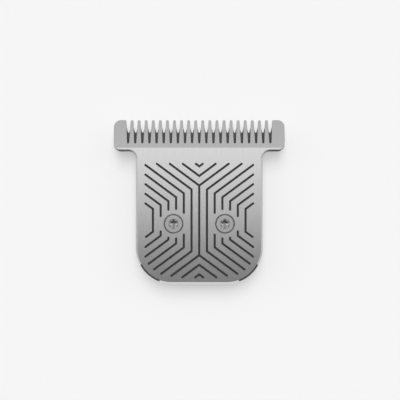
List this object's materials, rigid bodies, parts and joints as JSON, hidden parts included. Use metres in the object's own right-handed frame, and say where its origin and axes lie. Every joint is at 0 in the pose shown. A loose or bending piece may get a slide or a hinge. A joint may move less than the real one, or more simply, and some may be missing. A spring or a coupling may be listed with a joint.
{
  "type": "trimmer blade",
  "caption": "T-shaped hair trimmer blade module: a grooved steel comb plate, a sliding cutter behind its teeth, and a plug-in rear bracket held by countersunk screws.",
  "frame": {"origin": "midway between the two screw axes, on the bracket's rear seat", "axes": "+X across the blade, +Y towards the teeth, +Z out of the grooved front face"},
  "size_m": [0.04, 0.0383, 0.008],
  "materials": {
    "plate_steel": "finely brushed along Y, grooves dark",
    "cutter_steel": "thin black coating, semi-gloss",
    "yoke_plastic": "fine moulded texture",
    "spring_wire": "drawn wire",
    "bracket_plastic": "fine moulded texture",
    "screw_steel": "turned, plain steel",
    "insert_brass": "turned"
  },
  "bodies": {
    "holder": {"fixed_blade": "plate_steel", "rear_bracket": "bracket_plastic", "tension_spring": "spring_wire", "screw_left": "screw_steel", "screw_right": "screw_steel", "insert_left": "insert_brass", "insert_right": "insert_brass"},
    "cutter": {"cutter_blade": "cutter_steel", "drive_yoke": "yoke_plastic"}
  },
  "joints": [
    {"name": "cutter_slide", "type": "slide", "parent": "holder", "child": "cutter", "axis": [1, 0, 0], "range_m": [-0.001, 0.001]}
  ]
}
